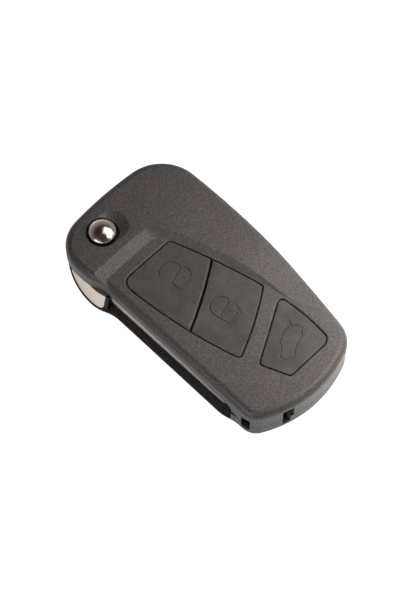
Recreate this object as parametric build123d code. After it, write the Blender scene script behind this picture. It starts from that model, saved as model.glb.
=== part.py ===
"""Folding car key casing with three keys, in millimetres.

X runs across the casing to the right, with the blade slot on the left side.
Y runs along it towards the pivot and the release button.
Z runs up from the back face, and the origin is the middle of that face.
"""

from build123d import *
import os
from math import cos, radians, sin, sqrt

# Casing outline
length = 78.2
width = 42.8
pivot_end_radius = 110.0
ring_end_radius = 33.0
ring_end_crown_x = 0.4
right_side_radius = 250.0
right_side_crown_y = 15.0
ring_corner_radius = 8.0
slot_corner_radius = 5.0
pivot_corner_radius = 12.5
head_corner_radius = 10.0

# Left side: the back cover's lip stands out past the front cover
lip_from_bulge = 1.9
lip_reach = 1.1
front_bulge_from_bulge = 1.3
lip_from_corner = 3.6
lip_run = 7.0
bulge_from_pivot_end = 16.8
bulge_run = 8.8
front_bulge_from_pivot_end = 12.8
front_bulge_run = 8.8
head_lip_radius = 22.5
head_lip_corner_radius = 8.0

# Casing heights, from the back face
panel_top = 11.6
raised_top = 12.8
parting_z = 4.5
slot_top = 7.4
floor = 1.2
top_edge_radius = 2.1
back_edge_radius = 1.0
ramp_start = 17.0
ramp_end = 41.0

# Walls and running gaps
wall = 1.5
inner_wall = 1.2
skin = 1.5
pivot_skin = 1.9
seam_gap = 0.18
tongue_height = 1.0
tongue_inset = 0.8
loose_gap = 0.2
fit_gap = 0.02
running_gap = 0.06
cut_past = 1.0

# Sunk key panel
panel_end = 10.3
panel_edge_x = -162.2
panel_edge_y = -46.3
panel_edge_radius = 177.0
pivot_bevel_run = 3.3
side_bevel_run = 1.6
panel_corner_radius = 4.5

# Keys, from the keypad's own datum
keypad_from_left = 21.4
keypad_from_ring_end = 39.1
panel_margin = 0.35
key_gap = 0.28
opening_edge = 0.2
divider_gap = 0.55
divider_x = -61.4
divider_y = 102.5
divider_radius = 118.5
key_below_panel = 0.1
key_travel = 0.5
flange_reach = 0.55
flange_thickness = 0.6
key_edge = 0.18
divider_bevel = 0.4
divider_edge_x = -3.0

# The opening of the unlock and lock keys, from the keypad's datum
wide_from_panel_end = 3.15
wide_left_radius = 142.0
wide_left_centre_x = 127.0
wide_left_centre_y = 22.3
wide_low_left_y = -19.95
wide_low_right_y = -9.5
wide_low_middle = (1.35, -15.2)
wide_high_left_radius = 3.0
wide_right_radius = 1.0
wide_low_left_radius = 1.3

# The trunk key's opening, from the keypad's datum
trunk_high_left = (-6.5, -24.15)
trunk_high_right = (11.2, -14.35)
trunk_right_bow = (12.1, -23.5)
trunk_low_right = (11.5, -32.25)
trunk_low_left = (-2.95, -32.25)
trunk_high_left_radius = 1.2
trunk_high_right_radius = 1.3
trunk_low_right_radius = 2.6
trunk_low_left_radius = 1.0

# Engraved icons, drawn in tenths of their size round a place on each key
icon_size = 10.0
icon_line = 0.3
icon_depth = 0.12
unlock_x = -2.4
lock_place = (-1.3, -7.6)
trunk_place = (3.6, -25.3)

# Silicone mat and its frame
frame_thickness = 0.7
travel_spare = 0.1
mat_bead = 0.8
post_radius = 2.0
post_drop = 1.2
window_gap = 0.6
mat_end_from_pivot = 10.8
mat_end_from_ring = 5.2

# Pivot and release button
pivot_from_left = 12.95
pivot_from_end = 8.4
boss_radius = 2.5
boss_top = 5.0
barrel_radius = 6.9
barrel_bore_radius = 4.9
barrel_top_gap = 0.2
guide_wall = 1.3
button_radius = 3.6
button_hole_radius = 4.4
button_top = 14.6
button_rim = 13.2
button_edge_radius = 0.35
button_travel = 2.0
stem_radius = 2.4
plunger_height = 2.2
plunger_gap = 0.1
lug_count = 4
lug_reach = 0.9
lug_width = 1.5
dish_offset_x = 3.1
dish_offset_y = -0.4
dish_radius = 4.35
dish_depth = 1.3

# Blade slot and flip head
slot_from_ring_end = 12.5
slot_end_radius = 3.0
channel_width = 12.1
swing_corner_radius = 6.0
head_gap = 0.3
head_side_gap = 0.35
head_lean = 12.0
head_end_from_pivot = 13.0
head_reach_past_pivot = 2.2
head_disc_radius = 7.7
head_floor = 1.5
trim_thickness = 1.0
trim_from_pivot = 12.0
trim_corner_radius = 1.4

# Blade, its pin and the chip pocket
blade_thickness = 2.2
blade_width = 7.9
blade_height = 3.5
blade_side_inset = 0.35
blade_taper = 0.3
blade_edge = 0.25
blade_tip_gap = 1.1
blade_tip_cut = 2.6
blade_groove_width = 1.6
blade_groove_depth = 0.4
tang_width = 4.6
tang_length = 4.6
blade_pin_radius = 0.8
blade_pin_bore = 0.35
blade_pin_from_end = 2.2
chip_width = 2.8
chip_length = 6.6
chip_plug_thickness = 0.9
chip_from_trim = 2.5
chip_from_pivot = 1.2

# Washer, spring seat and spring
washer_thickness = 0.25
washer_radius = 6.5
seat_thickness = 0.55
spring_wire_radius = 0.3
spring_coil_radius = 3.45
spring_turns = 4

# Key ring passage
chamber_radius = 8.3
chamber_from_left = 5.9
chamber_from_end = 3.1
chamber_top = 9.6
side_slot_width = 2.6
side_slot_low = 2.2
side_slot_high = 7.8
side_slot_from_left = 3.6
side_slot_from_end = 8.0
side_slot_turn = 20.0
end_slot_width = 3.1
end_slot_low = 2.0
end_slot_high = 9.2
end_slot_from_left = 12.2
end_slot_step = 0.9
slot_depth = 5.0

# Case screws and the empty board tray
screw_radius = 0.95
screw_hole_gap = 0.15
screw_head_radius = 1.9
screw_head_height = 1.1
screw_length = 8.0
screw_boss_radius = 2.2
screw_sink = 0.15
screw_tip_gap = 0.3
recess_reach = 1.0
recess_width = 0.5
recess_depth = 0.5
ring_screw_from_left = 22.9
ring_screw_from_end = 2.9
pivot_screw_from_side = 7.9
pivot_screw_from_end = 8.6
tray_floor = 0.8
tray_wall = 0.8
cell_from_left = 26.0
cell_from_ring_end = 42.1
cell_radius = 10.1
cell_rim_height = 1.6

# Places worked out from the sizes above
left_x = -width / 2
right_x = width / 2
pivot_end_y = length / 2
ring_end_y = -length / 2
lip_x = left_x + lip_from_bulge
side_x = lip_x + lip_reach
front_bulge_x = left_x + front_bulge_from_bulge
bulge_y = pivot_end_y - bulge_from_pivot_end
front_bulge_y = pivot_end_y - front_bulge_from_pivot_end
pivot_x = left_x + pivot_from_left
pivot_y = pivot_end_y - pivot_from_end
keypad_x = left_x + keypad_from_left
keypad_y = ring_end_y + keypad_from_ring_end
panel_end_y = pivot_y - panel_end
wide_top_y = panel_end_y - wide_from_panel_end - keypad_y
slot_end_y = ring_end_y + slot_from_ring_end
channel_x = left_x + channel_width
skin_under = panel_top - skin
pivot_under = raised_top - pivot_skin
frame_top = slot_top + frame_thickness
flange_top = skin_under - 0.5 * loose_gap
flange_low = flange_top - flange_thickness
mat_top = flange_low - key_travel - travel_spare
key_top = panel_top - key_below_panel
mat_high_y = pivot_y - mat_end_from_pivot
mat_low_y = ring_end_y + mat_end_from_ring
head_low = floor + head_gap
head_top = slot_top - head_gap
barrel_top = pivot_under - barrel_top_gap
shoulder_top = pivot_under - plunger_gap
head_end_y = pivot_y - head_end_from_pivot
chamber_x = left_x + chamber_from_left
chamber_y = ring_end_y + chamber_from_end
ring_screw = (left_x + ring_screw_from_left, ring_end_y + ring_screw_from_end)
pivot_screw = (right_x - pivot_screw_from_side, pivot_end_y - pivot_screw_from_end)
cell_centre = (left_x + cell_from_left, ring_end_y + cell_from_ring_end)
far = 2 * length


def block(low_x, high_x, low_y, high_y, low_z, high_z):
    """A box between two corners."""
    size = Box(high_x - low_x, high_y - low_y, high_z - low_z, align=Align.MIN)
    return Pos(low_x, low_y, low_z) * size


def region(low_x, high_x, low_y, high_y):
    """A flat rectangle between two corners."""
    return Pos(low_x, low_y) * Rectangle(high_x - low_x, high_y - low_y, align=Align.MIN)


def disc(x, y, radius):
    """A flat disc."""
    return Pos(x, y) * Circle(radius)


def raise_up(sketch, low, high):
    """A flat shape made solid between two heights."""
    return extrude(Pos(0, 0, low) * sketch, amount=high - low, dir=(0, 0, 1))


def rod(x, y, radius, low, high):
    """A round bar along Z."""
    return raise_up(disc(x, y, radius), low, high)


def inset(sketch, amount):
    """The same outline, moved inwards all round."""
    return offset(sketch, amount=-amount)


def nearest(items, point):
    """The vertex or edge whose middle is closest to a point."""
    return min(items, key=lambda item: (item.center() - Vector(*point)).length)


def round_corners(sketch, corners):
    """Rounds the named corners of a flat outline."""
    for point, radius in corners:
        sketch = fillet(nearest(sketch.vertices(), (*point, 0)), radius)
    return sketch


def ogee(start, end, heading):
    """Two equal arcs that leave and arrive along the same heading."""
    middle = ((start[0] + end[0]) / 2, (start[1] + end[1]) / 2)
    back = (-heading[0], -heading[1])
    return [TangentArc(start, middle, tangent=heading), TangentArc(end, middle, tangent=back)]


def pivot_end_at(x):
    return pivot_end_y - pivot_end_radius + sqrt(pivot_end_radius**2 - x**2)


def ring_end_at(x):
    across = x - ring_end_crown_x
    return ring_end_y + ring_end_radius - sqrt(ring_end_radius**2 - across**2)


def right_side_at(y):
    along = y - right_side_crown_y
    return right_x - right_side_radius + sqrt(right_side_radius**2 - along**2)


def head_lip_at(y):
    along = y - bulge_y
    return left_x + head_lip_radius - sqrt(head_lip_radius**2 - along**2)


def meeting(side_at, end_at, x):
    """Where a side curve and an end curve cross."""
    for _ in range(40):
        y = end_at(x)
        x = side_at(y)
    return x, y


def closed_outline(left_edges, low_left, high_left):
    """The casing's plan: the given left side, then the ends and the right side."""
    low_right = meeting(right_side_at, ring_end_at, right_x)
    high_right = meeting(right_side_at, pivot_end_at, right_x)
    ring_end = ThreePointArc(low_left, (ring_end_crown_x, ring_end_y), low_right)
    middle_y = (low_right[1] + high_right[1]) / 2
    right = ThreePointArc(low_right, (right_side_at(middle_y), middle_y), high_right)
    pivot_end = ThreePointArc(high_right, (0, pivot_end_y), high_left)
    sketch = make_face([*left_edges, ring_end, right, pivot_end])
    right_corners = [(low_right, ring_corner_radius), (high_right, pivot_corner_radius)]
    return round_corners(sketch, [*right_corners, (low_left, slot_corner_radius)])


def front_outline():
    """The front cover's plan, with a small bulge beside the pivot."""
    low_left = (side_x, ring_end_at(side_x))
    start = (side_x, front_bulge_y - front_bulge_run)
    full = (front_bulge_x, front_bulge_y)
    high_left = (front_bulge_x, pivot_end_at(front_bulge_x))
    left = [Line(low_left, start), *ogee(start, full, (0, 1)), Line(full, high_left)]
    sketch = closed_outline(left, low_left, high_left)
    return round_corners(sketch, [(high_left, head_corner_radius)])


def back_outline():
    """The back cover's plan, whose lip stands out under the slot and the head."""
    low_left = (side_x, ring_end_at(side_x))
    lip_low = (side_x, low_left[1] + lip_from_corner)
    lip_high = (lip_x, lip_low[1] + lip_run)
    start = (lip_x, bulge_y - bulge_run)
    full = (left_x, bulge_y)
    high_left = meeting(head_lip_at, pivot_end_at, left_x)
    middle_y = (full[1] + high_left[1]) / 2
    left = [
        Line(low_left, lip_low),
        *ogee(lip_low, lip_high, (0, 1)),
        Line(lip_high, start),
        *ogee(start, full, (0, 1)),
        ThreePointArc(full, (head_lip_at(middle_y), middle_y), high_left),
    ]
    sketch = closed_outline(left, low_left, high_left)
    return round_corners(sketch, [(high_left, head_lip_corner_radius)])


front_plan = front_outline()
back_plan = back_outline()
inner_plan = inset(front_plan, wall)


def slot_plan(grow):
    """What the folded blade and the swinging head need clear, moved out by grow."""
    channel = region(-far, channel_x + grow, slot_end_y - grow, far)
    low_y = pivot_y - head_disc_radius - head_gap - grow
    high_x = pivot_x + pivot_from_left + grow
    swing = region(channel_x - wall, high_x, low_y, far)
    return channel + round_corners(swing, [((high_x, low_y), swing_corner_radius + grow)])


def slot_space():
    """The slot as a solid, with its round upper corner at the ring end."""
    space = raise_up(slot_plan(0), floor, slot_top)
    corner = nearest(space.edges(), ((channel_x - far) / 2, slot_end_y, slot_top))
    return fillet(corner, slot_end_radius)


def top_profile():
    """The front face seen from the side: raised at the pivot, ramping to the panel."""
    low = (ring_end_y + ramp_start, panel_top)
    high = (ring_end_y + ramp_end, raised_top)
    edges = [
        Line((-far, 0), (-far, panel_top)),
        Line((-far, panel_top), low),
        *ogee(low, high, (1, 0)),
        Line(high, (far, raised_top)),
        Line((far, raised_top), (far, 0)),
        Line((far, 0), (-far, 0)),
    ]
    return extrude(Plane.YZ * make_face(edges), amount=far, both=True)


def panel_side_at(y, grow):
    """The sunk panel's right edge, moved out by grow."""
    along = y - keypad_y - panel_edge_y
    return keypad_x + panel_edge_x + sqrt((panel_edge_radius + grow) ** 2 - along**2)


def panel_plan(end_grow, side_grow):
    """The sunk panel's outline, with its pivot end and its right edge moved out."""
    high_y = panel_end_y + end_grow
    low_y = ring_end_y + ramp_start - cut_past
    middle_y = (high_y + low_y) / 2
    high = (panel_side_at(high_y, side_grow), high_y)
    low = (panel_side_at(low_y, side_grow), low_y)
    edges = [
        Line((-far, low_y), (-far, high_y)),
        Line((-far, high_y), high),
        ThreePointArc(high, (panel_side_at(middle_y, side_grow), middle_y), low),
        Line(low, (-far, low_y)),
    ]
    return round_corners(make_face(edges), [(high, panel_corner_radius + side_grow)])


def panel_pocket():
    """The space over the panel, whose sloping sides run on down past its outer edges."""
    rise = raised_top - panel_top
    drop = top_edge_radius / rise
    low = Pos(0, 0, panel_top - top_edge_radius) * panel_plan(-drop * pivot_bevel_run, -drop * side_bevel_run)
    high = Pos(0, 0, panel_top + 2 * rise) * panel_plan(2 * pivot_bevel_run, 2 * side_bevel_run)
    return loft([low.face(), high.face()], ruled=True)


def is_rim(edge):
    """True for an edge that goes round the top, false for a straight one across it."""
    return not (edge.geom_type == GeomType.LINE and abs((edge % 0.5).X) > 0.99)


def front_block():
    """The front cover's outside as one solid."""
    raised = raise_up(front_plan, 0, raised_top) & top_profile()
    rim = [e for e in raised.edges() if e.center().Z > panel_top - 0.1 and is_rim(e)]
    raised = fillet(rim, top_edge_radius)
    panel = raise_up(front_plan, 0, panel_top)
    rim = panel.edges().filter_by_position(Axis.Z, panel_top - 0.1, panel_top + 0.1)
    panel = fillet(rim, top_edge_radius)
    return raised - (panel_pocket() - panel)


def back_block():
    """The back cover's outside as one solid."""
    body = raise_up(back_plan, 0, parting_z)
    rim = body.edges().filter_by_position(Axis.Z, -0.1, 0.1)
    return fillet(rim, back_edge_radius)


def ring_slot(low, high, width_now, x, y, turn):
    """One cut through the outer wall for the key ring."""
    cut = Box(width_now, slot_depth, high - low, align=(Align.CENTER, Align.CENTER, Align.MIN))
    return Pos(x, y, low) * Rot(0, 0, turn) * cut


def ring_slots(step):
    """Both key ring cuts; the back cover's end cut is narrower by step."""
    side_at = (left_x + side_slot_from_left, ring_end_y + side_slot_from_end)
    side = ring_slot(side_slot_low, side_slot_high, side_slot_width, *side_at, side_slot_turn - 90)
    end_x = left_x + end_slot_from_left - step / 2
    end = ring_slot(end_slot_low, end_slot_high, end_slot_width - step, end_x, ring_end_at(end_x), 0)
    return side + end


def chamber(grow, low, high):
    """The round chamber behind the key ring cuts."""
    return raise_up(disc(chamber_x, chamber_y, chamber_radius + grow) & inner_plan, low, high)


def keypad_place(sketch):
    """A keypad shape moved to its place on the casing."""
    return Pos(keypad_x, keypad_y) * sketch


def wide_left_at(y):
    along = y - wide_left_centre_y
    return wide_left_centre_x - sqrt(wide_left_radius**2 - along**2)


def wide_right_at(y):
    return panel_side_at(y + keypad_y, -panel_margin) - keypad_x


def wide_opening():
    """The opening that the unlock and lock keys share, with bowed sides."""
    high_left = (wide_left_at(wide_top_y), wide_top_y)
    high_right = (wide_right_at(wide_top_y), wide_top_y)
    low_left = (wide_left_at(wide_low_left_y), wide_low_left_y)
    low_right = (wide_right_at(wide_low_right_y), wide_low_right_y)
    left_middle = (wide_top_y + wide_low_left_y) / 2
    right_middle = (wide_top_y + wide_low_right_y) / 2
    edges = [
        ThreePointArc(low_left, (wide_left_at(left_middle), left_middle), high_left),
        Line(high_left, high_right),
        ThreePointArc(high_right, (wide_right_at(right_middle), right_middle), low_right),
        ThreePointArc(low_right, wide_low_middle, low_left),
    ]
    left_corners = [(high_left, wide_high_left_radius), (low_left, wide_low_left_radius)]
    right_corners = [(high_right, wide_right_radius), (low_right, wide_right_radius)]
    return round_corners(make_face(edges), left_corners + right_corners)


def trunk_opening():
    """The trunk key's opening near the ring end."""
    edges = [
        Line(trunk_low_left, trunk_high_left),
        Line(trunk_high_left, trunk_high_right),
        ThreePointArc(trunk_high_right, trunk_right_bow, trunk_low_right),
        Line(trunk_low_right, trunk_low_left),
    ]
    corners = [
        (trunk_high_left, trunk_high_left_radius),
        (trunk_high_right, trunk_high_right_radius),
        (trunk_low_right, trunk_low_right_radius),
        (trunk_low_left, trunk_low_left_radius),
    ]
    return round_corners(make_face(edges), corners)


def key_flange(opening):
    return offset(opening, amount=flange_reach)


def above_divider(gap):
    return disc(divider_x, divider_y, divider_radius - gap / 2)


def below_divider(gap):
    return region(-far, far, -far, far) - disc(divider_x, divider_y, divider_radius + gap / 2)


def divider_at(x, gap):
    """The divider's lower or upper edge, for a negative or positive gap."""
    return divider_y - sqrt((divider_radius + gap / 2) ** 2 - (x - divider_x) ** 2)


def unlock_place():
    """The middle of the unlock key, between the divider and the panel's end."""
    return (unlock_x, (wide_top_y + divider_at(unlock_x, 0)) / 2)


def drawn(*points):
    """Points of an icon in millimetres, from tenths of its size."""
    return [(x * icon_size / 10, y * icon_size / 10) for x, y in points]


def stroke(*pieces):
    """One engraved stroke, as wide as icon_line, along joined lines and arcs."""
    path = Wire([edge for piece in pieces for edge in piece.edges()])
    return make_face(offset(path, amount=icon_line / 2))


def line_stroke(*points):
    return stroke(Polyline(*drawn(*points)))


def shackle(centre, radius, start_angle, arc_size):
    """A padlock's round shackle."""
    return CenterArc(drawn(centre)[0], radius * icon_size / 10, start_angle, arc_size)


def unlock_icon():
    """A padlock whose shackle stands open."""
    ring = shackle((-1.45, 1.75), 3.0, -16, 176)
    side = Polyline(ring @ 0, *drawn((-3.4, -0.6), (-3.3, -2.9), (-2.8, -3.9)))
    return Sketch() + [
        stroke(ring, side),
        line_stroke((-0.1, -1.3), (0.1, -2.0)),
        line_stroke((-0.6, -3.5), (0.8, -3.2)),
        line_stroke((2.2, 0.3), (2.6, -1.1), (1.6, -2.7)),
    ]


def lock_icon():
    """A closed padlock."""
    ring = shackle((-0.3, 1.6), 2.9, 4, 194)
    side = Polyline(ring @ 1, *drawn((-2.5, -2.1), (-1.9, -3.2), (-0.4, -3.7)))
    return Sketch() + [
        stroke(ring, side),
        line_stroke((2.0, 1.3), (-2.1, 0.1)),
        line_stroke((0.2, -0.4), (0.8, -1.3)),
        line_stroke((0.1, -2.7), (1.4, -2.4)),
        line_stroke((3.1, -0.4), (2.1, -3.3)),
    ]


def trunk_icon():
    """A car from the side with its tailgate up."""
    roof = Polyline(*drawn((2.8, 3.0), (1.7, 3.3), (-1.8, 1.9), (-2.4, 0.3)))
    bonnet = Polyline(*drawn((-2.4, 0.3), (-4.7, -1.2), (-4.4, -2.9), (-3.0, -3.1)))
    front_wheel = ThreePointArc(*drawn((-3.0, -3.1), (-2.0, -3.7), (-1.2, -2.6)))
    sill = Polyline(*drawn((-1.2, -2.6), (2.3, -1.1)))
    rear_wheel = ThreePointArc(*drawn((2.3, -1.1), (3.3, -1.4), (3.8, -0.4)))
    tail = Polyline(*drawn((3.8, -0.4), (5.3, 0.7), (5.2, 1.6), (4.3, 2.3)))
    tailgate = line_stroke((3.6, 2.7), (4.4, 4.3))
    return Sketch() + [stroke(roof, bonnet, front_wheel, sill, rear_wheel, tail), tailgate]


def key(face, flange, icon, icon_place, bevel_at=None):
    """One key: a flat cap over a flange that stays under the skin."""
    cap = raise_up(keypad_place(face), flange_low, key_top)
    if bevel_at:
        cap = chamfer(nearest(cap.edges(), bevel_at), divider_bevel)
    rim = cap.faces().sort_by(Axis.Z)[-1].edges()
    if bevel_at:
        rim = [edge for edge in rim if edge.center().Y > bevel_at[1] + 2 * divider_bevel]
    cap = chamfer(rim, key_edge)
    cap += raise_up(keypad_place(flange), flange_low, flange_top)
    engraving = keypad_place(Pos(*icon_place) * icon)
    return cap - raise_up(engraving, key_top - icon_depth, key_top + cut_past)


def key_unlock():
    face = inset(wide_opening(), key_gap) & above_divider(divider_gap)
    flange = key_flange(wide_opening()) & above_divider(divider_gap)
    edge_y = divider_at(divider_edge_x, -divider_gap)
    bevel_at = (keypad_x + divider_edge_x, keypad_y + edge_y, key_top)
    return key(face, flange, unlock_icon(), unlock_place(), bevel_at)


def key_lock():
    face = inset(wide_opening(), key_gap) & below_divider(divider_gap)
    flange = key_flange(wide_opening()) & below_divider(divider_gap)
    return key(face, flange, lock_icon(), lock_place)


def key_trunk():
    face = inset(trunk_opening(), key_gap)
    return key(face, key_flange(trunk_opening()), trunk_icon(), trunk_place)


def screw_places():
    return [ring_screw, pivot_screw]


def mat_plan(gap):
    """The mat's and the frame's outline inside the front cover."""
    plan = inset(front_plan, wall + gap) & region(-far, far, mat_low_y, mat_high_y)
    plan -= disc(chamber_x, chamber_y, chamber_radius + inner_wall + gap)
    return plan - disc(*ring_screw, screw_boss_radius + gap)


def front_cover():
    """Upper casing half: skin, side walls, guide for the head and screw bosses."""
    body = front_block() - block(-far, far, -far, far, -cut_past, parting_z + seam_gap)
    bosses = Sketch() + [disc(*place, screw_boss_radius) for place in screw_places()]
    chamber_wall = disc(chamber_x, chamber_y, chamber_radius + inner_wall)
    keypad_bay = inner_plan & region(-far, far, -far, mat_high_y + loose_gap)
    body -= raise_up(keypad_bay - chamber_wall - bosses, 0, skin_under)
    pivot_bay = inner_plan & region(-far, far, mat_high_y + loose_gap + wall, far)
    guide = disc(pivot_x, pivot_y, barrel_radius + running_gap + guide_wall)
    body -= raise_up(pivot_bay - slot_plan(inner_wall) - bosses, 0, pivot_under)
    body -= raise_up(pivot_bay & slot_plan(0) - guide, 0, pivot_under)
    body -= chamber(0, 0, chamber_top)
    rebate = inset(front_plan, tongue_inset - loose_gap / 2)
    body -= raise_up(rebate, 0, parting_z + tongue_height + seam_gap)
    body -= slot_space()
    body -= raise_up(slot_plan(0), 0, floor + cut_past)
    body -= rod(pivot_x, pivot_y, barrel_radius + running_gap, 0, pivot_under)
    body -= rod(pivot_x, pivot_y, button_hole_radius, 0, far)
    body -= finger_dish()
    body -= raise_up(keypad_place(wide_opening() + trunk_opening()), skin_under - cut_past, far)
    for opening in (wide_opening(), trunk_opening()):
        body -= opening_rim(keypad_place(opening))
    body -= ring_slots(0)
    for place in screw_places():
        body -= rod(*place, screw_radius, 0, floor + screw_length)
    return body


def opening_rim(opening):
    """The small slope round an opening's upper edge."""
    grown = Pos(0, 0, panel_top + opening_edge) * offset(opening, amount=2 * opening_edge)
    low = Pos(0, 0, panel_top - opening_edge) * opening
    return loft([low.face(), grown.face()], ruled=True)


def finger_dish():
    """A shallow round dish beside the release button, for the thumb."""
    ball = (dish_radius**2 + dish_depth**2) / (2 * dish_depth)
    centre = (pivot_x + dish_offset_x, pivot_y + dish_offset_y, raised_top - dish_depth + ball)
    return Pos(*centre) * Sphere(ball)


def back_cover():
    """Lower casing half: floor, lip, slot partition, pivot boss and screw bosses."""
    body = back_block()
    bosses = Sketch() + [disc(*place, screw_boss_radius) for place in screw_places()]
    chamber_wall = disc(chamber_x, chamber_y, chamber_radius + inner_wall)
    body += raise_up(inset(front_plan, tongue_inset), floor / 2, parting_z + tongue_height)
    inner_bay = region(-far, far, -far, mat_high_y) & inset(front_plan, wall + loose_gap)
    inner_bay -= disc(chamber_x, chamber_y, chamber_radius + inner_wall + loose_gap)
    body += raise_up(slot_plan(inner_wall) & inner_bay, floor / 2, slot_top)
    body -= raise_up(inner_plan - slot_plan(inner_wall) - chamber_wall - bosses, floor, far)
    body -= chamber(0, floor, far)
    body -= raise_up(slot_plan(0), floor, far)
    body += rod(pivot_x, pivot_y, boss_radius, floor / 2, boss_top)
    body -= ring_slots(end_slot_step)
    for place in screw_places():
        body -= rod(*place, screw_radius + screw_hole_gap, -cut_past, far)
        body -= rod(*place, screw_head_radius + screw_hole_gap, -cut_past, screw_head_height)
    return body


def board_tray():
    """The tray that the board and the cell lie in, empty here."""
    plan = inset(front_plan, wall + loose_gap)
    plan = plan & region(channel_x + inner_wall + loose_gap, far, mat_low_y, mat_high_y)
    plan -= disc(chamber_x, chamber_y, chamber_radius + inner_wall + loose_gap)
    plan -= disc(*ring_screw, screw_boss_radius + loose_gap)
    body = raise_up(plan, floor, slot_top) - raise_up(inset(plan, tray_wall), floor + tray_floor, far)
    rim = disc(*cell_centre, cell_radius + tray_wall) - disc(*cell_centre, cell_radius)
    low = floor + tray_floor
    return body + raise_up(rim & inset(plan, tray_wall / 2), low - tray_floor / 2, low + cell_rim_height)


def post_places():
    return [unlock_place(), lock_place, trunk_place]


def keypad_frame():
    """The flat frame that carries the mat over the slot and the tray."""
    body = raise_up(mat_plan(loose_gap), slot_top, frame_top)
    for x, y in post_places():
        window = keypad_place(disc(x, y, post_radius + window_gap))
        body -= raise_up(window, slot_top - cut_past, frame_top + cut_past)
    return body


def keypad_mat():
    """The silicone mat: a thin web, a bead round its edge and a post under each key."""
    plan = mat_plan(loose_gap)
    body = raise_up(plan, frame_top, mat_top)
    body += raise_up(plan - inset(plan, mat_bead), frame_top, skin_under)
    for x, y in post_places():
        body += raise_up(keypad_place(disc(x, y, post_radius)), frame_top - post_drop, mat_top)
    return body


def release_button():
    """The domed chrome cap."""
    ball_rise = button_top - button_rim
    ball = (button_radius**2 + ball_rise**2) / (2 * ball_rise)
    middle = (button_radius / 2, button_top - ball + sqrt(ball**2 - (button_radius / 2) ** 2))
    edges = [
        Line((0, shoulder_top), (button_radius, shoulder_top)),
        Line((button_radius, shoulder_top), (button_radius, button_rim)),
        ThreePointArc((button_radius, button_rim), middle, (0, button_top)),
        Line((0, button_top), (0, shoulder_top)),
    ]
    profile = round_corners(make_face(edges), [((button_radius, button_rim), button_edge_radius)])
    body = Pos(pivot_x, pivot_y) * revolve(Plane.XZ * profile, Axis.Z)
    return body - rod(pivot_x, pivot_y, stem_radius + fit_gap, 0, button_rim - wall / 2)


def lug_cross(reach, width_now, low, high):
    """Bars through the pivot axis that make the plunger's lugs or their keyways."""
    bar = Box(2 * reach, width_now, high - low, align=(Align.CENTER, Align.CENTER, Align.MIN))
    bars = Part() + [Rot(0, 0, 360 / lug_count * i) * bar for i in range(lug_count // 2)]
    return Pos(pivot_x, pivot_y, low) * bars


def release_plunger():
    """The guided plunger under the cap, with its locking lugs."""
    low = shoulder_top - plunger_height
    disc_radius = barrel_bore_radius - plunger_gap
    body = rod(pivot_x, pivot_y, disc_radius, low, shoulder_top)
    lugs = lug_cross(barrel_bore_radius + lug_reach - plunger_gap, lug_width, low, barrel_top - plunger_gap)
    body += lugs
    body += rod(pivot_x, pivot_y, stem_radius, low, button_rim - wall / 2)
    cup = disc(pivot_x, pivot_y, spring_coil_radius + 2 * spring_wire_radius)
    cup -= disc(pivot_x, pivot_y, boss_radius)
    return body - raise_up(cup, low - cut_past, low + plunger_height / 2)


def flip_spring():
    """The coil that lifts the button and swings the head."""
    low = head_floor + floor + head_gap + running_gap + seat_thickness + spring_wire_radius
    high = shoulder_top - plunger_height / 2 - spring_wire_radius
    path = Helix((high - low) / spring_turns, high - low, spring_coil_radius)
    section = Plane(path @ 0, z_dir=path % 0) * Circle(spring_wire_radius)
    coil = sweep(section, path=path, is_frenet=True)
    return Pos(pivot_x, pivot_y, low) * coil


def spring_seat():
    """The ring that the spring stands on, keyed to the back cover's boss."""
    low = floor + head_gap + head_floor + running_gap
    ring = disc(pivot_x, pivot_y, barrel_bore_radius - plunger_gap)
    ring -= disc(pivot_x, pivot_y, boss_radius + fit_gap)
    return raise_up(ring, low, low + seat_thickness)


def pivot_washer():
    """The thin washer that the head turns on."""
    ring = disc(pivot_x, pivot_y, washer_radius) - disc(pivot_x, pivot_y, boss_radius + running_gap)
    return raise_up(ring, floor, floor + washer_thickness)


def head_shape(depth):
    """The head's leaning outside, moved in by depth."""
    plan = Pos(0, 0, head_low) * inset(back_plan, head_side_gap + depth)
    lean = radians(head_lean)
    slant = (head_top - head_low) / cos(lean)
    return extrude(plan, amount=slant, dir=(sin(lean), 0, cos(lean)))


def head_arm(shape):
    """The part of a leaning shape that belongs to the head's arm."""
    high_y = pivot_y + head_reach_past_pivot
    arm = block(-far, channel_x - 2 * head_gap, head_end_y, high_y, head_low, head_top)
    return shape & arm


def trim_block(gap, high_y):
    """The room the trim takes on the head, with its round lower corner."""
    low_y = pivot_y - trim_from_pivot - gap
    body = block(-far, pivot_x - barrel_radius, low_y, high_y, head_low - gap, head_top + gap)
    corner = nearest(body.edges(), (pivot_x - far / 2, low_y, head_low - gap))
    return fillet(corner, trim_corner_radius + gap)


def head_trim():
    """The satin metal facing on the head's outer side."""
    facing = head_shape(0) - head_shape(trim_thickness)
    return facing & trim_block(0, pivot_y + head_reach_past_pivot)


def chip_pocket(grow, low):
    """The head's pocket for the transponder chip."""
    low_x = left_x + head_side_gap + trim_thickness + chip_from_trim - grow
    high_x = low_x + chip_width + 2 * grow
    high_y = pivot_y - chip_from_pivot + grow
    return block(low_x, high_x, high_y - chip_length - 2 * grow, high_y, low, head_top + max(grow, 0))


def key_tang(grow):
    """The blade's tang inside the head."""
    middle_x = side_x + blade_side_inset + blade_width / 2
    return block(
        middle_x - tang_width / 2 - grow,
        middle_x + tang_width / 2 + grow,
        head_end_y - (cut_past if grow else 0),
        head_end_y + tang_length + grow,
        blade_height - grow,
        blade_height + blade_thickness + grow,
    )


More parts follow.
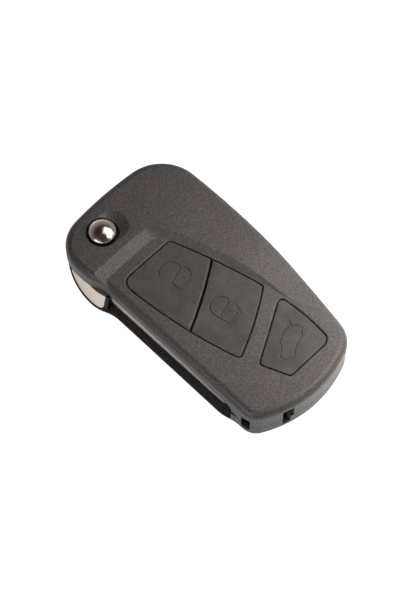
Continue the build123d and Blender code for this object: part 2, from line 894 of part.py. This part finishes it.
def key_blade():
    """The uncut blade, folded into the slot."""
    low_x = side_x + blade_side_inset
    tip_y = slot_end_y + blade_tip_gap
    outline = Polyline(
        (low_x, head_end_y),
        (low_x + blade_taper, tip_y + blade_tip_cut),
        (low_x + blade_tip_cut, tip_y),
        (low_x + blade_width - blade_tip_cut, tip_y),
        (low_x + blade_width, tip_y + blade_tip_cut),
        (low_x + blade_width, head_end_y),
        close=True,
    )
    high = blade_height + blade_thickness
    body = raise_up(make_face(outline), blade_height, high)
    outer = (low_x + blade_taper / 2, (head_end_y + tip_y + blade_tip_cut) / 2)
    body = chamfer([nearest(body.edges(), (*outer, z)) for z in (blade_height, high)], blade_edge)
    groove_x = low_x + blade_width / 2
    groove_side = blade_groove_width / 2
    groove = region(groove_x - groove_side, groove_x + groove_side, tip_y - cut_past, head_end_y - wall)
    body -= raise_up(groove, high - blade_groove_depth, high + cut_past)
    body -= raise_up(groove, blade_height - cut_past, blade_height + blade_groove_depth)
    body += key_tang(0)
    return body - rod(groove_x, head_end_y + blade_pin_from_end, blade_pin_radius + fit_gap, 0, far)


def blade_pin():
    """The rolled pin that holds the blade in the head."""
    x = side_x + blade_side_inset + blade_width / 2
    y = head_end_y + blade_pin_from_end
    ring = disc(x, y, blade_pin_radius) - disc(x, y, blade_pin_bore)
    return raise_up(ring, head_low, head_top)


def flip_head():
    """The moulded holder that carries the blade and turns on the boss."""
    body = head_arm(head_shape(0))
    body += rod(pivot_x, pivot_y, head_disc_radius, head_low, head_top)
    body += rod(pivot_x, pivot_y, barrel_radius, head_low, barrel_top)
    body -= (head_shape(-1) - head_shape(trim_thickness + fit_gap)) & trim_block(fit_gap, far)
    body -= rod(pivot_x, pivot_y, boss_radius + running_gap, 0, far)
    body -= rod(pivot_x, pivot_y, barrel_bore_radius, head_low + head_floor, far)
    keyway = barrel_bore_radius + lug_reach
    low = shoulder_top - plunger_height - button_travel - head_gap
    body -= lug_cross(keyway, lug_width + loose_gap, low, barrel_top + cut_past)
    body -= chip_pocket(0, head_low + head_floor)
    body -= key_tang(fit_gap)
    x = side_x + blade_side_inset + blade_width / 2
    return body - rod(x, head_end_y + blade_pin_from_end, blade_pin_radius + fit_gap, 0, far)


def chip_plug():
    """The plug that closes the chip pocket."""
    return chip_pocket(-fit_gap, head_top - chip_plug_thickness)


def case_screw(place):
    """A cross-recessed screw up through the back cover."""
    body = rod(*place, screw_radius, screw_sink, floor + screw_length - screw_tip_gap)
    body += rod(*place, screw_head_radius, screw_sink, screw_head_height)
    side = recess_width / 2
    deep = screw_sink + recess_depth
    recess = block(-recess_reach, recess_reach, -side, side, 0, deep)
    recess += block(-side, side, -recess_reach, recess_reach, 0, deep)
    return body - Pos(*place, 0) * recess


pieces = {
    "front_cover": front_cover,
    "back_cover": back_cover,
    "board_tray": board_tray,
    "keypad_frame": keypad_frame,
    "keypad_mat": keypad_mat,
    "key_unlock": key_unlock,
    "key_lock": key_lock,
    "key_trunk": key_trunk,
    "release_button": release_button,
    "release_plunger": release_plunger,
    "flip_spring": flip_spring,
    "spring_seat": spring_seat,
    "pivot_washer": pivot_washer,
    "flip_head": flip_head,
    "head_trim": head_trim,
    "key_blade": key_blade,
    "blade_pin": blade_pin,
    "chip_plug": chip_plug,
    "case_screw_ring_end": lambda: case_screw(ring_screw),
    "case_screw_pivot_end": lambda: case_screw(pivot_screw),
}

os.makedirs("parts", exist_ok=True)
for name, make in pieces.items():
    export_step(make(), f"parts/{name}.step")
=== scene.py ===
"""Dresses the folding car key casing: finishes, a wound release spring, camera, light and table.

Lengths are in millimetres until they are multiplied by MM, in the casing's own frame:
X across it, Y along it towards the pivot, Z up from its back face.
"""

import math

import bpy
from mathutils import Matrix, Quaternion, Vector


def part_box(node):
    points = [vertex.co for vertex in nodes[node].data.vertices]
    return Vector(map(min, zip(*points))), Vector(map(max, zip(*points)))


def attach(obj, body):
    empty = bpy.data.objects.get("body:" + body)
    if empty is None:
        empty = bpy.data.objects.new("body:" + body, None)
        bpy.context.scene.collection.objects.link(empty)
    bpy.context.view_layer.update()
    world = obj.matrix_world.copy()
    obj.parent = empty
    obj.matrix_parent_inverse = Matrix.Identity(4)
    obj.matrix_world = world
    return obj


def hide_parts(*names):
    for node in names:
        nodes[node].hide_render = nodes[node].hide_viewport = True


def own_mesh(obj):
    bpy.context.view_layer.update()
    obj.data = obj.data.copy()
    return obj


MM = 0.001

# Camera: aimed at the casing's middle, turned to the blade side and tipped down
camera_target = (-2.3, 0.9, 6.5)
camera_distance = 500.0
camera_turn = -45.0
camera_rise = 64.0
camera_lens = 115.5
camera_sensor = 36.0
camera_nearest = 50.0

# Soft boxes, all facing the casing's middle: place, size, roll in degrees, power in watts,
# colour and whether gloss shows them
soft_boxes = {
    "overhead": ((205, -80, 365), (460, 320), 46, 0.44, "#ffffff", True),
    "overhead_core": ((230, 0, 350), (300, 180), 46, 0.17, "#ffffff", True),
    "ring_high": ((120, -190, 330), (150, 150), 0, 0.28, "#ffffff", True),
    "ring_corner": ((56, -42, 58), (40, 40), 0, 0.112, "#ffffff", False),
    "ring_end": ((90, -110, 60), (60, 60), 0, 0.05, "#fff4e8", False),
    "blade_side": ((-220, -40, 120), (220, 90), 0, 0.24, "#f2f6ff", True),
}
soft_box_target = (0, 0, 6)

# Room: brown and dark overhead, pale and warm near the horizon. The tone changes between two
# heights of the line of sight, where 0 is level and 1 is straight up
room_dark = "#58473d"
room_pale = "#efe7df"
room_dark_from = 0.8
room_pale_from = 0.15
room_strength = 0.32

# Table: its half width, how far it lies under the back face and how lit up it looks
table_half = 1500.0
table_under = 0.02
table_colour = "#a8a7a6"
table_glow = 0.95
table_glow_in_reflections = 0.6

# Release spring: its wire and turns, and the sides and steps of its wire mesh
spring_wire_radius = 0.3
spring_turns = 4
spring_sides = 14
spring_steps_per_turn = 40

# Casing: spark craters are 0.1 to 0.2 mm across, under a pixel, so they are drawn twice as coarse
# or more to show as a mottle
spark_crater = 0.42
spark_grain = 0.46
spark_depth = 0.027
casing_patch = 5.0
casing_edge = 0.35

# Keys: their etch is finer than 0.1 mm and is drawn coarser too, for the same cause
key_etch = 0.28
key_etch_depth = 0.024
key_handling = 4.5
key_edge = 0.28

# Other finishes: sizes of flow marks, dust, haze and brush lines, and how far lines are drawn out.
# The brush lines are nearly as fine as real ones: they soften the sheen and show in close views,
# while coarser ones made the blade look like wood
flow_mark = 3.0
dust_speck = 0.5
polish_haze = 1.2
brush_line = 0.06
brush_depth = 0.004
brush_squeeze = 0.03

# The span that most of a noise falls in, and the rays that round an edge off
noise_span = {"From Min": 0.3, "From Max": 0.7}
edge_samples = 6

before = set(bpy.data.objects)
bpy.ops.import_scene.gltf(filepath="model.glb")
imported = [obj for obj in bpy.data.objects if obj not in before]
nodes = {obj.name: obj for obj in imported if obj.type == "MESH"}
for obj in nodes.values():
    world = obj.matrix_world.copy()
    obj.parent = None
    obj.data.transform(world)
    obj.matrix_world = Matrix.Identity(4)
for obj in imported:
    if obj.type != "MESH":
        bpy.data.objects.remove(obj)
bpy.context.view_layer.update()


def linear(code):
    """A hex sRGB colour as linear RGBA."""
    parts = [int(code[i:i + 2], 16) / 255 for i in (1, 3, 5)]
    return [c / 12.92 if c <= 0.04045 else ((c + 0.055) / 1.055) ** 2.4 for c in parts] + [1.0]


def add(tree, kind, inputs=None, **settings):
    """Adds a node: settings are its own, inputs are values or links by socket name or number."""
    node = tree.nodes.new(kind)
    for name, value in settings.items():
        setattr(node, name, value)
    for name, value in (inputs or {}).items():
        if isinstance(value, bpy.types.NodeSocket):
            tree.links.new(value, node.inputs[name])
        else:
            node.inputs[name].default_value = value
    return node


def finish(surface):
    """A material named after its surface function, which returns the shader."""
    material = bpy.data.materials.new(surface.__name__)
    material.use_nodes = True
    material.node_tree.nodes.clear()
    shader = surface(material.node_tree)
    add(material.node_tree, "ShaderNodeOutputMaterial", {"Surface": shader})
    return material


def spark_textured_pc_abs(tree):
    """Casing: PC/ABS from a spark-eroded mould, whose craters give a dull, finely mottled grey."""
    place = add(tree, "ShaderNodeTexCoord").outputs["Object"]
    craters = add(
        tree, "ShaderNodeTexVoronoi", {"Vector": place, "Scale": 1 / (spark_crater * MM)}
    ).outputs["Distance"]
    grain = add(
        tree,
        "ShaderNodeTexNoise",
        {"Vector": place, "Scale": 1 / (spark_grain * MM), "Detail": 2.0, "Roughness": 0.7},
    ).outputs["Fac"]
    patches = add(
        tree,
        "ShaderNodeTexNoise",
        {"Vector": place, "Scale": 1 / (casing_patch * MM), "Detail": 2.0},
    ).outputs["Fac"]
    speckle = add(tree, "ShaderNodeMapRange", {"Value": grain, **noise_span}).outputs["Result"]
    tone = add(
        tree,
        "ShaderNodeMix",
        {0: speckle, 6: linear("#2b2826"), 7: linear("#585350")},
        data_type="RGBA",
    ).outputs[2]
    cloud = add(
        tree,
        "ShaderNodeMapRange",
        {"Value": patches, "From Min": 0.35, "From Max": 0.65, "To Max": 0.25},
    ).outputs["Result"]
    colour = add(
        tree, "ShaderNodeMix", {0: cloud, 6: tone, 7: linear("#3b3735")}, data_type="RGBA"
    ).outputs[2]
    rough = add(
        tree,
        "ShaderNodeMapRange",
        {"Value": craters, "From Max": 0.7, "To Min": 0.44, "To Max": 0.34},
    ).outputs["Result"]
    height = add(tree, "ShaderNodeMath", {0: craters, 1: grain}, operation="ADD").outputs[0]
    edges = add(
        tree, "ShaderNodeBevel", {"Radius": casing_edge * MM}, samples=edge_samples
    ).outputs["Normal"]
    normal = add(
        tree, "ShaderNodeBump", {"Height": height, "Distance": spark_depth * MM, "Normal": edges}
    ).outputs["Normal"]
    return add(
        tree,
        "ShaderNodeBsdfPrincipled",
        {"Base Color": colour, "Roughness": rough, "Specular IOR Level": 0.43, "Normal": normal},
    ).outputs["BSDF"]


def fine_etched_key_plastic(tree):
    """Keys: PC/ABS with a finer etch and cloudy handling marks, which look smoother and darker."""
    place = add(tree, "ShaderNodeTexCoord").outputs["Object"]
    etch = add(
        tree,
        "ShaderNodeTexNoise",
        {"Vector": place, "Scale": 1 / (key_etch * MM), "Detail": 4.0, "Roughness": 0.7},
    ).outputs["Fac"]
    handling = add(
        tree,
        "ShaderNodeTexNoise",
        {
            "Vector": place,
            "Scale": 1 / (key_handling * MM),
            "Detail": 4.0,
            "Roughness": 0.55,
            "Distortion": 0.8,
        },
    ).outputs["Fac"]
    cloud = add(
        tree, "ShaderNodeMapRange", {"Value": handling, "From Min": 0.35, "From Max": 0.68}
    ).outputs["Result"]
    tone = add(
        tree,
        "ShaderNodeMix",
        {0: cloud, 6: linear("#2d2a29"), 7: linear("#3d3a38")},
        data_type="RGBA",
    ).outputs[2]
    speckle = add(
        tree,
        "ShaderNodeMapRange",
        {"Value": etch, "From Min": 0.4, "From Max": 0.72, "To Max": 0.5},
    ).outputs["Result"]
    colour = add(
        tree, "ShaderNodeMix", {0: speckle, 6: tone, 7: linear("#67635f")}, data_type="RGBA"
    ).outputs[2]
    rough = add(
        tree, "ShaderNodeMapRange", {"Value": handling, **noise_span, "To Min": 0.4, "To Max": 0.56}
    ).outputs["Result"]
    edges = add(
        tree, "ShaderNodeBevel", {"Radius": key_edge * MM}, samples=edge_samples
    ).outputs["Normal"]
    normal = add(
        tree, "ShaderNodeBump", {"Height": etch, "Distance": key_etch_depth * MM, "Normal": edges}
    ).outputs["Normal"]
    return add(
        tree,
        "ShaderNodeBsdfPrincipled",
        {"Base Color": colour, "Roughness": rough, "Specular IOR Level": 0.3, "Normal": normal},
    ).outputs["BSDF"]


def black_abs_with_painted_shade(tree):
    """Inner mouldings and head: black ABS with faint flow marks, made darker than bare black
    plastic as painted shade, so it drops back into shade.
    """
    place = add(tree, "ShaderNodeTexCoord").outputs["Object"]
    flow = add(
        tree, "ShaderNodeTexNoise", {"Vector": place, "Scale": 1 / (flow_mark * MM), "Detail": 3.0}
    ).outputs["Fac"]
    share = add(tree, "ShaderNodeMapRange", {"Value": flow, **noise_span}).outputs["Result"]
    # Painted shade: both blacks are darker than bare black ABS, to deepen the shade on the head's
    # end and inside the slot
    colour = add(
        tree,
        "ShaderNodeMix",
        {0: share, 6: linear("#0d0d0d"), 7: linear("#151414")},
        data_type="RGBA",
    ).outputs[2]
    rough = add(
        tree, "ShaderNodeMapRange", {"Value": flow, **noise_span, "To Min": 0.42, "To Max": 0.55}
    ).outputs["Result"]
    return add(
        tree,
        "ShaderNodeBsdfPrincipled",
        {"Base Color": colour, "Roughness": rough, "Specular IOR Level": 0.25},
    ).outputs["BSDF"]


def dusty_silicone(tree):
    """Keypad mat: pressed black silicone, matte with a little pale dust."""
    place = add(tree, "ShaderNodeTexCoord").outputs["Object"]
    dust = add(
        tree, "ShaderNodeTexNoise", {"Vector": place, "Scale": 1 / (dust_speck * MM), "Detail": 3.0}
    ).outputs["Fac"]
    share = add(
        tree, "ShaderNodeMapRange", {"Value": dust, "From Min": 0.55, "From Max": 0.8}
    ).outputs["Result"]
    colour = add(
        tree,
        "ShaderNodeMix",
        {0: share, 6: linear("#171717"), 7: linear("#2a2827")},
        data_type="RGBA",
    ).outputs[2]
    return add(
        tree, "ShaderNodeBsdfPrincipled", {"Base Color": colour, "Roughness": 0.75}
    ).outputs["BSDF"]


def bright_nickel_chrome(tree):
    """Release cap: nickel-chrome plating with a slight polishing haze, which softens highlights."""
    place = add(tree, "ShaderNodeTexCoord").outputs["Object"]
    haze = add(
        tree,
        "ShaderNodeTexNoise",
        {"Vector": place, "Scale": 1 / (polish_haze * MM), "Detail": 3.0},
    ).outputs["Fac"]
    rough = add(
        tree,
        "ShaderNodeMapRange",
        {"Value": haze, "From Min": 0.35, "From Max": 0.7, "To Min": 0.14, "To Max": 0.22},
    ).outputs["Result"]
    tint = add(
        tree,
        "ShaderNodeMix",
        {0: haze, 6: linear("#efe4da"), 7: linear("#f6f0ea")},
        data_type="RGBA",
    ).outputs[2]
    return add(
        tree, "ShaderNodeBsdfPrincipled", {"Base Color": tint, "Metallic": 1.0, "Roughness": rough}
    ).outputs["BSDF"]


def brushed_metal(tree, dark, light, smooth, dull):
    """Metal brushed along Y: fine lines in tone, roughness and height spread its highlights."""
    place = add(tree, "ShaderNodeTexCoord").outputs["Object"]
    drawn = add(
        tree, "ShaderNodeMapping", {"Vector": place, "Scale": (1.0, brush_squeeze, 1.0)}
    ).outputs["Vector"]
    lines = add(
        tree, "ShaderNodeTexNoise", {"Vector": drawn, "Scale": 1 / (brush_line * MM)}
    ).outputs["Fac"]
    share = add(tree, "ShaderNodeMapRange", {"Value": lines, **noise_span}).outputs["Result"]
    colour = add(
        tree, "ShaderNodeMix", {0: share, 6: linear(dark), 7: linear(light)}, data_type="RGBA"
    ).outputs[2]
    rough = add(
        tree, "ShaderNodeMapRange", {"Value": lines, **noise_span, "To Min": smooth, "To Max": dull}
    ).outputs["Result"]
    normal = add(
        tree, "ShaderNodeBump", {"Height": lines, "Distance": brush_depth * MM}
    ).outputs["Normal"]
    return add(
        tree,
        "ShaderNodeBsdfPrincipled",
        {"Base Color": colour, "Metallic": 1.0, "Roughness": rough, "Normal": normal},
    ).outputs["BSDF"]


def satin_anodised_trim(tree):
    """Head facing: aluminium, fine satin and anodised pale beige."""
    return brushed_metal(tree, "#e0d2c3", "#efe3d6", 0.36, 0.48)


def nickel_plated_brass(tree):
    """Blade and its pin: milled brass under nickel, a warm pale metal with a soft sheen."""
    return brushed_metal(tree, "#c4b4a1", "#dbcdbb", 0.34, 0.47)


def stamped_spring_steel(tree):
    """Spring and washer: oiled strip and drawn wire, mid grey."""
    return brushed_metal(tree, "#8c8a88", "#b0aeac", 0.28, 0.42)


def black_zinc_steel(tree):
    """Screws: zinc passivated black, a dark grey metal."""
    return brushed_metal(tree, "#3a3a3c", "#55555a", 0.34, 0.46)


casing = finish(spark_textured_pc_abs)
key_plastic = finish(fine_etched_key_plastic)
black = finish(black_abs_with_painted_shade)
silicone = finish(dusty_silicone)
chrome = finish(bright_nickel_chrome)
trim = finish(satin_anodised_trim)
blade = finish(nickel_plated_brass)
steel = finish(stamped_spring_steel)
screw = finish(black_zinc_steel)

finish_of = {
    "front_cover": casing,
    "back_cover": casing,
    "board_tray": black,
    "keypad_frame": black,
    "keypad_mat": silicone,
    "key_unlock": key_plastic,
    "key_lock": key_plastic,
    "key_trunk": key_plastic,
    "release_button": chrome,
    "release_plunger": black,
    "flip_spring": steel,
    "spring_seat": black,
    "pivot_washer": steel,
    "flip_head": black,
    "head_trim": trim,
    "key_blade": blade,
    "blade_pin": blade,
    "chip_plug": black,
    "case_screw_ring_end": screw,
    "case_screw_pivot_end": screw,
}
for name, material in finish_of.items():
    slots = nodes[name].data.materials
    slots.clear()
    slots.append(material)


def place_in_scene(name, data):
    """A new object in the scene."""
    thing = bpy.data.objects.new(name, data)
    bpy.context.scene.collection.objects.link(thing)
    return thing


def plain_mesh(name, tree, values):
    """A node tree with its inputs set by name, evaluated once and kept as a plain mesh."""
    shape = place_in_scene(name, bpy.data.meshes.new(name))
    modifier = shape.modifiers.new(tree.name, "NODES")
    modifier.node_group = tree
    for socket in tree.interface.items_tree:
        if socket.item_type == "SOCKET" and socket.in_out == "INPUT":
            modifier[socket.identifier] = values[socket.name]
    evaluated = shape.evaluated_get(bpy.context.evaluated_depsgraph_get())
    shape.data = bpy.data.meshes.new_from_object(evaluated)
    shape.modifiers.remove(modifier)
    return shape


def wound_coil():
    """A compression spring: round wire led along a helix that stands on its place."""
    tree = bpy.data.node_groups.new("wound coil", "GeometryNodeTree")
    sockets = {
        "Place": "NodeSocketVector",
        "Coil radius": "NodeSocketFloat",
        "Wire radius": "NodeSocketFloat",
        "Height": "NodeSocketFloat",
        "Turns": "NodeSocketFloat",
        "Steps per turn": "NodeSocketInt",
        "Sides": "NodeSocketInt",
        "Metal": "NodeSocketMaterial",
    }
    for name, kind in sockets.items():
        tree.interface.new_socket(name, in_out="INPUT", socket_type=kind)
    tree.interface.new_socket("Geometry", in_out="OUTPUT", socket_type="NodeSocketGeometry")
    given = add(tree, "NodeGroupInput").outputs
    helix = add(
        tree,
        "GeometryNodeCurveSpiral",
        {
            "Resolution": given["Steps per turn"],
            "Rotations": given["Turns"],
            "Start Radius": given["Coil radius"],
            "End Radius": given["Coil radius"],
            "Height": given["Height"],
        },
    ).outputs["Curve"]
    section = add(
        tree,
        "GeometryNodeCurvePrimitiveCircle",
        {"Resolution": given["Sides"], "Radius": given["Wire radius"]},
    ).outputs["Curve"]
    wire = add(
        tree,
        "GeometryNodeCurveToMesh",
        {"Curve": helix, "Profile Curve": section, "Fill Caps": True},
    ).outputs["Mesh"]
    stood = add(
        tree, "GeometryNodeTransform", {"Geometry": wire, "Translation": given["Place"]}
    ).outputs["Geometry"]
    whole = add(tree, "GeometryNodeRealizeInstances", {"Geometry": stood}).outputs["Geometry"]
    metal = add(
        tree, "GeometryNodeSetMaterial", {"Geometry": whole, "Material": given["Metal"]}
    ).outputs["Geometry"]
    add(tree, "NodeGroupOutput", {"Geometry": metal})
    return tree


def release_spring():
    """The coil under the release cap: it takes the place of the frame's coil and goes with the flip
    body.
    """
    low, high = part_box("flip_spring")
    wire = spring_wire_radius * MM
    coil = plain_mesh(
        "release_spring",
        wound_coil(),
        {
            "Place": ((low[0] + high[0]) / 2, (low[1] + high[1]) / 2, low[2] + wire),
            "Coil radius": (high[0] - low[0]) / 2 - wire,
            "Wire radius": wire,
            "Height": high[2] - low[2] - 2 * wire,
            "Turns": spring_turns,
            "Steps per turn": spring_steps_per_turn,
            "Sides": spring_sides,
            "Metal": steel,
        },
    )
    coil.data.polygons.foreach_set("use_smooth", [True] * len(coil.data.polygons))
    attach(coil, "flip")
    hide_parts("flip_spring")
    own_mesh(coil)


def face_from(thing, place, away):
    """Puts a camera or a lamp at a place, with its back turned to the given way."""
    thing.location = place
    thing.rotation_mode = "QUATERNION"
    thing.rotation_quaternion = away.to_track_quat("Z", "Y")


def camera():
    """The photo's camera."""
    data = bpy.data.cameras.new("camera")
    data.sensor_width = camera_sensor
    data.lens = camera_lens
    data.clip_start = camera_nearest * MM
    turn = math.radians(camera_turn)
    rise = math.radians(camera_rise)
    back = Vector(
        (math.sin(turn) * math.cos(rise), -math.cos(turn) * math.cos(rise), math.sin(rise))
    )
    view = place_in_scene("camera", data)
    face_from(view, (Vector(camera_target) + back * camera_distance) * MM, back)
    bpy.context.scene.camera = view


def soft_box(name, place, size, roll, power, colour, in_gloss):
    """A rectangular lamp that faces the casing, out of the camera's sight.

    The two low ones by the ring end stay out of gloss, which would glare from behind.
    """
    data = bpy.data.lights.new(name, "AREA")
    data.shape = "RECTANGLE"
    data.size = size[0] * MM
    data.size_y = size[1] * MM
    data.energy = power
    data.color = linear(colour)[:3]
    lamp = place_in_scene(name, data)
    lamp.visible_camera = False
    lamp.visible_glossy = in_gloss
    face_from(lamp, Vector(place) * MM, Vector(place) - Vector(soft_box_target))
    lamp.rotation_quaternion @= Quaternion((0, 0, 1), math.radians(roll))


def white_table(tree):
    """Table: white paper that camera and reflections see lit up, with the casing's shadow on it."""
    paper = add(tree, "ShaderNodeBsdfDiffuse", {"Color": linear(table_colour)}).outputs["BSDF"]
    ray = add(tree, "ShaderNodeLightPath").outputs
    seen = add(
        tree, "ShaderNodeMath", {0: ray["Is Camera Ray"], 1: table_glow}, operation="MULTIPLY"
    ).outputs[0]
    glow = add(
        tree,
        "ShaderNodeMath",
        {0: ray["Is Glossy Ray"], 1: table_glow_in_reflections, 2: seen},
        operation="MULTIPLY_ADD",
    ).outputs[0]
    light = add(tree, "ShaderNodeEmission", {"Strength": glow}).outputs["Emission"]
    return add(tree, "ShaderNodeAddShader", {0: paper, 1: light}).outputs[0]


def table():
    """The white table, just under the casing's back face."""
    half = table_half * MM
    under = -table_under * MM
    ends = ((-half, -half), (half, -half), (half, half), (-half, half))
    corners = [(x, y, under) for x, y in ends]
    mesh = bpy.data.meshes.new("table")
    mesh.from_pydata(corners, [], [(0, 1, 2, 3)])
    mesh.materials.append(finish(white_table))
    place_in_scene("table", mesh)


def room():
    """A dim warm room, which the chrome cap shows as a brown field with a pale rim."""
    world = bpy.data.worlds.new("room")
    world.use_nodes = True
    tree = world.node_tree
    way = add(tree, "ShaderNodeTexCoord").outputs["Generated"]
    height = add(tree, "ShaderNodeSeparateXYZ", {"Vector": way}).outputs["Z"]
    share = add(
        tree,
        "ShaderNodeMapRange",
        {"Value": height, "From Min": room_dark_from, "From Max": room_pale_from},
        interpolation_type="SMOOTHSTEP",
    ).outputs["Result"]
    colour = add(
        tree,
        "ShaderNodeMix",
        {0: share, 6: linear(room_dark), 7: linear(room_pale)},
        data_type="RGBA",
    ).outputs[2]
    background = tree.nodes["Background"]
    tree.links.new(colour, background.inputs["Color"])
    background.inputs["Strength"].default_value = room_strength
    bpy.context.scene.world = world


release_spring()
camera()
table()
room()
for name, settings in soft_boxes.items():
    soft_box(name, *settings)
bpy.context.scene.view_settings.view_transform = "Standard"
